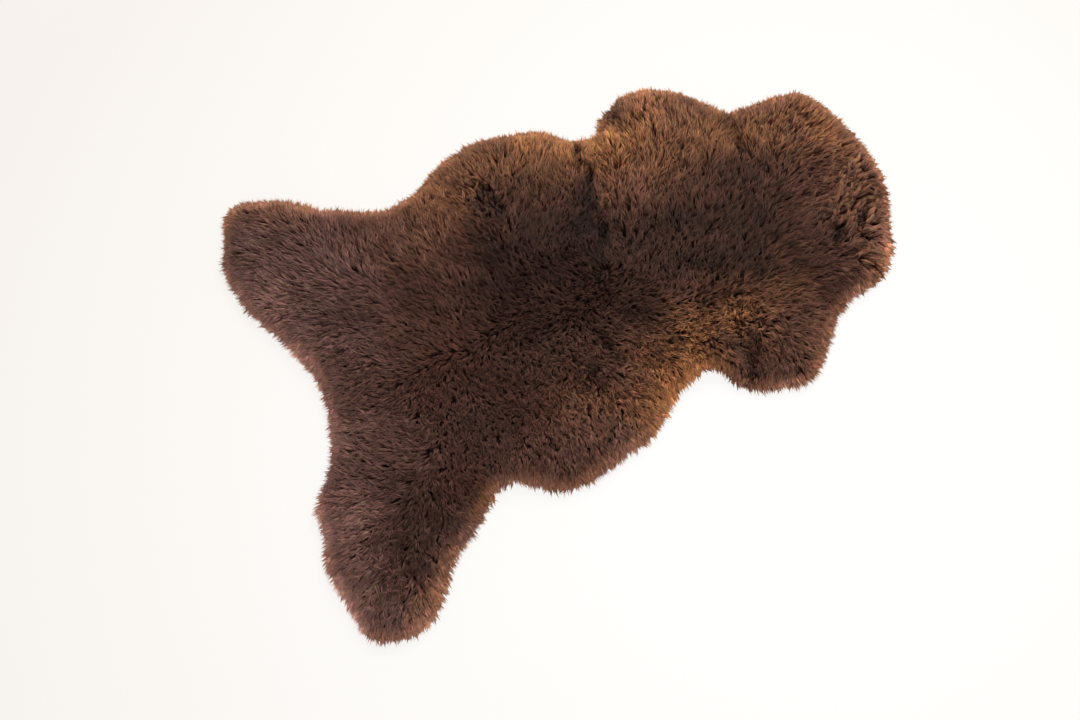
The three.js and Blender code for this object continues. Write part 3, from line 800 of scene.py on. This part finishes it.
def make_wool(base, hide_outline):
    """All the strands of the pile, gathered in locks that follow the wool's lie."""
    points, slopes = base.scattered(2000000)
    steep = slopes[:, 2] < 0.75
    root = np.vstack([
        points[~steep][thinned(points[~steep], STRAND_CELL)],
        points[steep][thinned(points[steep], RIM_CELL)],
    ])
    locks = thinned(points, LOCK_CELL)
    tufts = thinned(points, TUFT_CELL)
    centre = np.vstack([points[locks], points[tufts]])
    normal = np.vstack([slopes[locks], slopes[tufts]])
    tuft_share = wool_stand(root)[3]
    broken = 0.5 + 0.5 * smooth_noise(root, 30.0, 31)
    in_tuft = tuft_share > 0.35 + 0.3 * broken
    owner = nearest_of(root, points[locks])
    owner[in_tuft] = len(locks) + nearest_of(root[in_tuft], points[tufts])

    # Each lock's own lie, lean, length and curl.
    count = len(centre)
    lean, length, curl, _, stray, rough = wool_stand(centre)
    heading = wool_heading(centre) + np.radians(stray) * spread(count)
    depth, outward = hide_outline.measure(centre[:, :2])
    rim = smoothstep(30.0, -4.0, depth)
    wall = smoothstep(2.0, -7.0, depth)
    clump = smooth_noise(centre, 17.0, 51)
    nod = smooth_noise(centre, 21.0, 52)
    lean = lean + rough * (6.0 * spread(count) + 8.0 * nod)
    length = length * (1.0 + rough * (0.12 * spread(count) + 0.22 * clump)) * (1.0 - 0.05 * rim)
    is_tuft = np.arange(count) >= len(locks)
    curl = curl * rng.uniform(0.6, 1.5, count) * np.where(is_tuft, 1.5, 1.0)
    along = np.stack([np.cos(heading), np.sin(heading), np.zeros(count)], axis=1)
    outward = np.column_stack([outward, np.zeros(count)])
    gap, away = wool_gap(centre)
    length = length * (1.0 - 0.62 * gap)
    along = unit(along + outward * (0.9 * rim)[:, None] + away * (0.4 * gap)[:, None])
    fall = np.array([0.0, 0.0, -1.0])
    lie = along - dot(along, normal) * normal + 0.5 * (fall - dot(fall, normal) * normal)
    lie = unit(lie)
    across = np.cross(normal, lie)
    lean = np.where(normal[:, 2] < 0.6, lean * 0.7, lean)
    phase = rng.uniform(0.0, 2.0 * math.pi, count)
    turns = rng.uniform(0.7, 1.3, count)

    # Each strand's path: its lock's path, gathered towards the lock's tip.
    strands = len(root)
    own = length[owner] * (1.0 + 0.15 * spread(strands))
    tilt = np.radians(np.clip(lean[owner] + 7.0 * spread(strands), 5.0, 84.0))
    path = [root]
    place = root
    for low, high in zip(STRAND_STEPS[:-1], STRAND_STEPS[1:]):
        middle = 0.5 * (low + high)
        angle = np.minimum(tilt * (0.45 + 0.95 * middle), math.radians(89.0))[:, None]
        step = normal[owner] * np.cos(angle) + lie[owner] * np.sin(angle)
        place = place + step * (own * (high - low))[:, None]
        path.append(place)
    path = np.stack(path, axis=1)
    steps = np.array(STRAND_STEPS)
    offset = root - centre[owner]
    loosened = (0.25 + 0.3 * rough - 0.45 * rim)[owner]
    hold = np.where(in_tuft, 0.95, np.maximum(loosened, 0.0)) * rng.uniform(0.6, 1.1, strands)
    gather = hold[:, None] * steps[None] ** 1.2
    path = path - offset[:, None, :] * gather[..., None]
    turn = phase[owner][:, None] + 2.0 * math.pi * turns[owner][:, None] * steps[None]
    swing = (curl[owner][:, None] * steps[None])[..., None]
    path = path + swing * np.sin(turn)[..., None] * across[owner][:, None, :]
    path = path + swing * np.cos(turn)[..., None] * normal[owner][:, None, :] * 0.7
    frizz = rng.standard_normal((strands, len(steps), 3)) * (1.2 * steps[None, :, None])
    path = path + frizz
    loose = np.minimum(rng.exponential(WISP, strands), 3.5 * WISP)
    reach = WOOL_REACH - wool_short(path[:, -1]) + loose - 1.2 * WISP + 0.8 * spread(count)[owner]
    beyond = -hide_outline.measure(path[:, -1, :2])[0]
    past = beyond - reach
    level = np.linalg.norm(path[:, -1, :2] - root[:, :2], axis=1) + 1.0
    kept = np.clip(1.0 - past / level, 0.35, 1.0)
    parted = np.maximum(wool_gap(path[:, 1])[0], 0.85 * wool_gap(path[:, 2])[0])
    kept = kept * (1.0 - 0.45 * parted)
    path = root[:, None, :] + (path - root[:, None, :]) * kept[:, None, None]
    proud = path[:, -1, 2] - fleece_top.at(path[:, -1, 0], path[:, -1, 1]) - 5.0
    path[:, :, 2] -= np.clip(proud, 0.0, None)[:, None] * 0.8 * steps[None]
    path[:, :, 2] = np.maximum(path[:, :, 2], 1.6)

    shown = centre + lie * (0.7 * length * np.sin(np.radians(lean)))[:, None]
    # Each lock's gold share, painted sheen share, and painted light and shade, taken where the lock shows.
    gold, cool, light = wool_tint(shown)
    # Painted light: the wool within 30 mm of the skin's edge is made brighter.
    light = light * (1.0 + 0.3 * smoothstep(30.0, 0.0, depth))
    # Painted shade: strands in and beside the partings are darkened.
    light = light[owner] * (1.0 - 0.85 * np.maximum(parted, gap[owner]))
    # Painted backlight: strands whose tips stray past the outline are made brighter, less so where gold.
    beyond = np.minimum(beyond, reach)
    fringe = smoothstep(2.0, 20.0, beyond)
    lit = 0.50 * fringe + 0.65 * smoothstep(15.0, 28.0, beyond)
    light = light * (1.0 + lit * (1.0 - 0.6 * gold[owner]))
    lock_tone = np.where(is_tuft, 0.22, 0.16) * spread(count)
    tone = np.clip(0.5 + rough[owner] * (lock_tone[owner] + 0.24 * spread(strands)), 0.0, 1.0)
    hue = np.clip(0.5 + 0.12 * spread(count)[owner] + 0.20 * spread(strands), 0.0, 1.0)
    # Painted backlight: the fringe's strands are also made more golden.
    gold = 1.0 - (1.0 - gold[owner]) * (1.0 - 0.32 * fringe)
    gold = np.clip(gold * rng.uniform(0.65, 1.25, strands), 0.0, 1.0)
    # Painted shade: in rougher wool the strand's middle takes a darker place on the root-to-tip ramp,
    # deepening the gaps between tufts; in smoother wool a lighter one.
    shaded_middle = 0.5 - 0.3 * (rough[owner] - 0.8)
    values = {"gold": gold, "cool": cool[owner], "light": light, "tone": tone, "hue": hue, "shaded_middle": shaded_middle}
    order = np.argsort(-root[:, 1])
    pieces = []
    for number, part in enumerate(np.array_split(order, WOOL_PIECES), 1):
        chosen = {label: column[part] for label, column in values.items()}
        girth = rng.uniform(0.7, 1.3, len(part)) * (1.0 - 0.50 * wall[owner[part]])
        girth = girth * np.where(loose[part] > 1.5 * WISP, 0.75, 1.0)
        pieces.append(strand_piece(f"wool_{number}", path[part], across[owner[part]], girth, chosen))
    return pieces


def strand_piece(name, path, across, girth, values):
    """One mesh of closed four-sided slivers, each bent at its middle and pointed at both ends."""
    strands = len(path)
    root = path[:, 0]
    tip = path[:, 2]
    along = unit(tip - root)
    wide = unit(across - dot(across, along) * along)
    high = np.cross(along, wide)
    middle = path[:, 1]
    rise = dot(middle - 0.5 * (root + tip), high)
    least = (STRAND_RISE * girth)[:, None]
    middle = middle + high * np.maximum(least - rise, 0.0)
    half = (STRAND_HALF * girth)[:, None] * wide
    points = np.stack([root, middle - half, middle + half, tip], axis=1)
    points[:, :, 2] = np.maximum(points[:, :, 2], 0.5)
    faces = np.array([(0, 1, 2), (1, 3, 2), (0, 2, 3), (0, 3, 1)])
    triangles = (faces[None] + 4 * np.arange(strands)[:, None, None]).reshape(-1, 3)

    # Each strand's four faces lie as one strip in its own cell of the texture map.
    strip = np.array([
        [(0.0, 0.0), (0.0, 1.0), (0.5, 0.0)],
        [(0.0, 1.0), (0.5, 1.0), (0.5, 0.0)],
        [(1.0, 0.0), (0.5, 0.0), (0.5, 1.0)],
        [(1.0, 0.0), (0.5, 1.0), (1.0, 1.0)],
    ])
    columns = int(math.ceil(math.sqrt(strands)))
    cell = np.arange(strands)
    corner = np.stack([cell % columns, cell // columns], axis=1)
    uv = (corner[:, None, None, :] + 0.04 + 0.92 * strip[None]) / columns
    # The middle's place on the root-to-tip ramp, which carries painted shade.
    shaded_middle = values.pop("shaded_middle")
    attributes = {"along": np.stack([np.zeros(strands), shaded_middle, shaded_middle, np.ones(strands)], axis=1)}
    for label, column in values.items():
        attributes[label] = np.repeat(column, 4)
    return make_mesh(name, points.reshape(-1, 3), triangles, attributes, uv)


class Nodes:
    """A short way to write a material's nodes."""

    def __init__(self, name):
        self.material = bpy.data.materials.new(name)
        self.material.use_nodes = True
        self.tree = self.material.node_tree
        self.tree.nodes.clear()

    def add(self, kind, inputs=None, **settings):
        node = self.tree.nodes.new(kind)
        for label, value in settings.items():
            setattr(node, label, value)
        for label, value in (inputs or {}).items():
            if isinstance(value, bpy.types.NodeSocket):
                self.tree.links.new(value, node.inputs[label])
            else:
                node.inputs[label].default_value = value
        return node

    def value(self, attribute):
        return self.add("ShaderNodeAttribute", attribute_name=attribute).outputs["Fac"]

    def math(self, operation, first, second=0.5):
        return self.add("ShaderNodeMath", {0: first, 1: second}, operation=operation).outputs[0]

    def linear(self, value, factor, start):
        node = self.add("ShaderNodeMath", {0: value, 1: factor, 2: start}, operation="MULTIPLY_ADD")
        return node.outputs[0]

    def ramp(self, value, stops):
        node = self.add("ShaderNodeValToRGB", {"Fac": value})
        elements = node.color_ramp.elements
        while len(elements) < len(stops):
            elements.new(1.0)
        for element, (place, colour) in zip(elements, stops):
            element.position = place
            element.color = (*colour, 1.0)
        return node.outputs["Color"]

    def mix(self, share, first, second, blend="MIX"):
        node = self.add("ShaderNodeMix", data_type="RGBA", blend_type=blend)
        for index, value in ((0, share), (6, first), (7, second)):
            if isinstance(value, bpy.types.NodeSocket):
                self.tree.links.new(value, node.inputs[index])
            elif isinstance(value, tuple):
                node.inputs[index].default_value = (*value, 1.0)
            else:
                node.inputs[index].default_value = value
        return node.outputs[2]

    def grey(self, value):
        return self.add("ShaderNodeCombineColor", {0: value, 1: value, 2: value}).outputs[0]

    def finish(self, **inputs):
        named = {label.replace("_", " "): value for label, value in inputs.items()}
        surface = self.add("ShaderNodeBsdfPrincipled", named)
        self.add("ShaderNodeOutputMaterial", {"Surface": surface.outputs[0]})
        return self.material


def wool_material():
    nodes = Nodes("dark brown wool")
    along = nodes.value("along")
    place = nodes.add("ShaderNodeTexCoord").outputs["Object"]
    fine = nodes.add("ShaderNodeTexNoise", {"Vector": place, "Scale": 700.0, "Detail": 2.0}).outputs[0]
    broad = nodes.add("ShaderNodeTexNoise", {"Vector": place, "Scale": 45.0, "Detail": 3.0}).outputs[0]
    brown = nodes.ramp(along, [
        (0.0, (0.034, 0.0108, 0.0072)),
        (0.40, (0.047, 0.0170, 0.0116)),
        (0.80, (0.067, 0.0262, 0.0184)),
        (1.0, (0.096, 0.0395, 0.0280)),
    ])
    golden = nodes.ramp(along, [
        (0.0, (0.056, 0.0140, 0.0062)),
        (0.40, (0.100, 0.0330, 0.0135)),
        (0.80, (0.225, 0.0930, 0.0370)),
        (1.0, (0.370, 0.1720, 0.0700)),
    ])
    # Painted sheen: a greyer, cooler brown standing in for light reflected off wool that leans away.
    painted_sheen_colour = nodes.ramp(along, [
        (0.0, (0.044, 0.0190, 0.0160)),
        (0.40, (0.076, 0.0365, 0.0315)),
        (0.80, (0.145, 0.0735, 0.0640)),
        (1.0, (0.215, 0.1180, 0.1040)),
    ])
    colour = nodes.mix(nodes.value("gold"), brown, golden)
    colour = nodes.mix(nodes.value("cool"), colour, painted_sheen_colour)
    tints = nodes.ramp(nodes.value("hue"), [
        (0.0, (1.07, 0.91, 0.97)),
        (0.50, (1.0, 1.0, 1.0)),
        (1.0, (0.96, 1.14, 0.80)),
    ])
    colour = nodes.mix(1.0, colour, tints, "MULTIPLY")
    # Painted shade is tinted redder where the painted light value is low.
    shade_warmth = nodes.ramp(nodes.value("light"), [(0.15, (1.12, 0.98, 0.96)), (0.70, (1.0, 1.0, 1.0))])
    colour = nodes.mix(1.0, colour, shade_warmth, "MULTIPLY")
    light = nodes.linear(nodes.value("tone"), 1.3, 0.28)
    speck = nodes.linear(fine, 0.7, 0.65)
    cloud = nodes.linear(broad, 1.1, 0.43)
    # The light attribute carries the painted light and shade; tone, speck and cloud vary the wool's
    # lightness at random.
    broad_light = nodes.math("MULTIPLY", cloud, nodes.value("light"))
    light = nodes.math("MULTIPLY", nodes.math("MULTIPLY", light, speck), broad_light)
    colour = nodes.mix(1.0, colour, nodes.grey(light), "MULTIPLY")
    rough = nodes.linear(fine, 0.2, 0.48)
    bump = nodes.add("ShaderNodeBump", {"Strength": 0.25, "Distance": 0.0004, "Height": fine}).outputs[0]
    return nodes.finish(
        Base_Color=colour,
        Roughness=rough,
        Normal=bump,
        Sheen_Weight=0.03,
        Sheen_Roughness=0.5,
        Sheen_Tint=(0.80, 0.50, 0.40, 1.0),
        Specular_IOR_Level=0.12,
    )


def underwool_material():
    nodes = Nodes("matted underwool")
    place = nodes.add("ShaderNodeTexCoord").outputs["Object"]
    fine = nodes.add("ShaderNodeTexNoise", {"Vector": place, "Scale": 420.0, "Detail": 4.0}).outputs[0]
    colour = nodes.ramp(fine, [(0.3, (0.018, 0.0085, 0.0062)), (0.7, (0.042, 0.0195, 0.0142))])
    bump = nodes.add("ShaderNodeBump", {"Strength": 0.8, "Distance": 0.002, "Height": fine}).outputs[0]
    rough = nodes.linear(fine, 0.2, 0.75)
    return nodes.finish(Base_Color=colour, Roughness=rough, Normal=bump, Specular_IOR_Level=0.2)


def skin_material():
    nodes = Nodes("tanned flesh side")
    place = nodes.add("ShaderNodeTexCoord").outputs["Object"]
    nap = nodes.add("ShaderNodeTexNoise", {"Vector": place, "Scale": 900.0, "Detail": 4.0}).outputs[0]
    cloud = nodes.add("ShaderNodeTexNoise", {"Vector": place, "Scale": 9.0, "Detail": 5.0}).outputs[0]
    veins = nodes.add("ShaderNodeTexVoronoi", {"Vector": place, "Scale": 34.0}, feature="DISTANCE_TO_EDGE")
    colour = nodes.ramp(cloud, [
        (0.30, (0.46, 0.33, 0.20)),
        (0.50, (0.58, 0.43, 0.27)),
        (0.70, (0.68, 0.54, 0.36)),
    ])
    crease = nodes.ramp(veins.outputs["Distance"], [(0.0, (0.90, 0.88, 0.85)), (0.06, (1.0, 1.0, 1.0))])
    colour = nodes.mix(0.6, colour, crease, "MULTIPLY")
    fleck = nodes.ramp(nap, [(0.35, (0.86, 0.84, 0.82)), (0.65, (1.0, 1.0, 1.0))])
    colour = nodes.mix(0.8, colour, fleck, "MULTIPLY")
    bump = nodes.add("ShaderNodeBump", {"Strength": 0.5, "Distance": 0.0006, "Height": nap}).outputs[0]
    rough = nodes.linear(nap, 0.15, 0.80)
    return nodes.finish(Base_Color=colour, Roughness=rough, Normal=bump, Specular_IOR_Level=0.25)


def floor_material():
    """A pale floor with a glow of its own, for the photograph is exposed until it turns white."""
    nodes = Nodes("pale floor")
    place = nodes.add("ShaderNodeTexCoord").outputs["Object"]
    offset = nodes.add("ShaderNodeVectorMath", {0: place, 1: FLOOR_BRIGHT}, operation="DISTANCE")
    glow = nodes.ramp(nodes.math("MULTIPLY", offset.outputs["Value"], 1.0 / FLOOR_FADE), [
        (0.17, (0.900, 0.890, 0.878)),
        (0.50, (0.872, 0.853, 0.828)),
        (0.95, (0.800, 0.765, 0.730)),
    ])
    return nodes.finish(
        Base_Color=(0.06, 0.058, 0.056, 1.0),
        Roughness=0.85,
        Specular_IOR_Level=0.0,
        Emission_Color=glow,
        Emission_Strength=1.0,
    )


def make_camera():
    turn = math.radians(SKIN_TURN)
    rise = math.radians(ELEVATION)
    right = Vector((math.cos(turn), -math.sin(turn), 0.0))
    far = Vector((math.sin(turn), math.cos(turn), 0.0))
    back = Vector((0.0, 0.0, 1.0)) * math.sin(rise) - far * math.cos(rise)
    data = bpy.data.cameras.new("camera")
    data.lens = LENS
    data.sensor_width = SENSOR
    data.clip_start = 0.05
    camera = bpy.data.objects.new("camera", data)
    turned = Matrix((right, back.cross(right), back)).transposed().to_4x4()
    camera.matrix_world = Matrix.Translation((AIM + back * DISTANCE) * MM) @ turned
    bpy.context.scene.collection.objects.link(camera)
    bpy.context.scene.camera = camera


def make_light(name, place, size, energy, colour):
    data = bpy.data.lights.new(name, "AREA")
    data.shape = "DISK"
    data.size = size
    data.energy = energy
    data.color = colour
    lamp = bpy.data.objects.new(name, data)
    lamp.location = place
    toward = Vector((0.0, 0.0, 0.0)) - Vector(place)
    lamp.rotation_euler = toward.to_track_quat("-Z", "Y").to_euler()
    bpy.context.scene.collection.objects.link(lamp)


def make_stage():
    bpy.context.scene.view_settings.view_transform = "Standard"
    world = bpy.data.worlds.new("soft room")
    bpy.context.scene.world = world
    world.use_nodes = True
    backdrop = world.node_tree.nodes["Background"]
    backdrop.inputs["Color"].default_value = (1.0, 0.985, 0.97, 1.0)
    backdrop.inputs["Strength"].default_value = 1.25
    bpy.ops.mesh.primitive_plane_add(size=12.0, location=(0.0, 0.0, -0.0003))
    floor = bpy.context.object
    floor.name = "floor"
    floor.data.materials.append(floor_material())
    make_light("window", (1.1, 1.3, 2.4), 1.6, 115.0, (1.0, 0.985, 0.96))


make_camera()
make_stage()
fleece_top = HeightMap("fleece", True)
hide_underside = HeightMap("hide", False)
edge = Outline(hide_edge())
base = Base(edge, fleece_top, hide_underside)

skin = make_skin(edge, hide_underside)
skin.data.materials.append(skin_material())
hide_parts("hide")
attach(skin, "root")

underwool = base.make()
underwool.data.materials.append(underwool_material())
wool = make_wool(base, edge)
strand_finish = wool_material()
for piece in wool:
    piece.data.materials.append(strand_finish)
for piece in [underwool] + wool:
    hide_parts("fleece")
    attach(piece, "root")
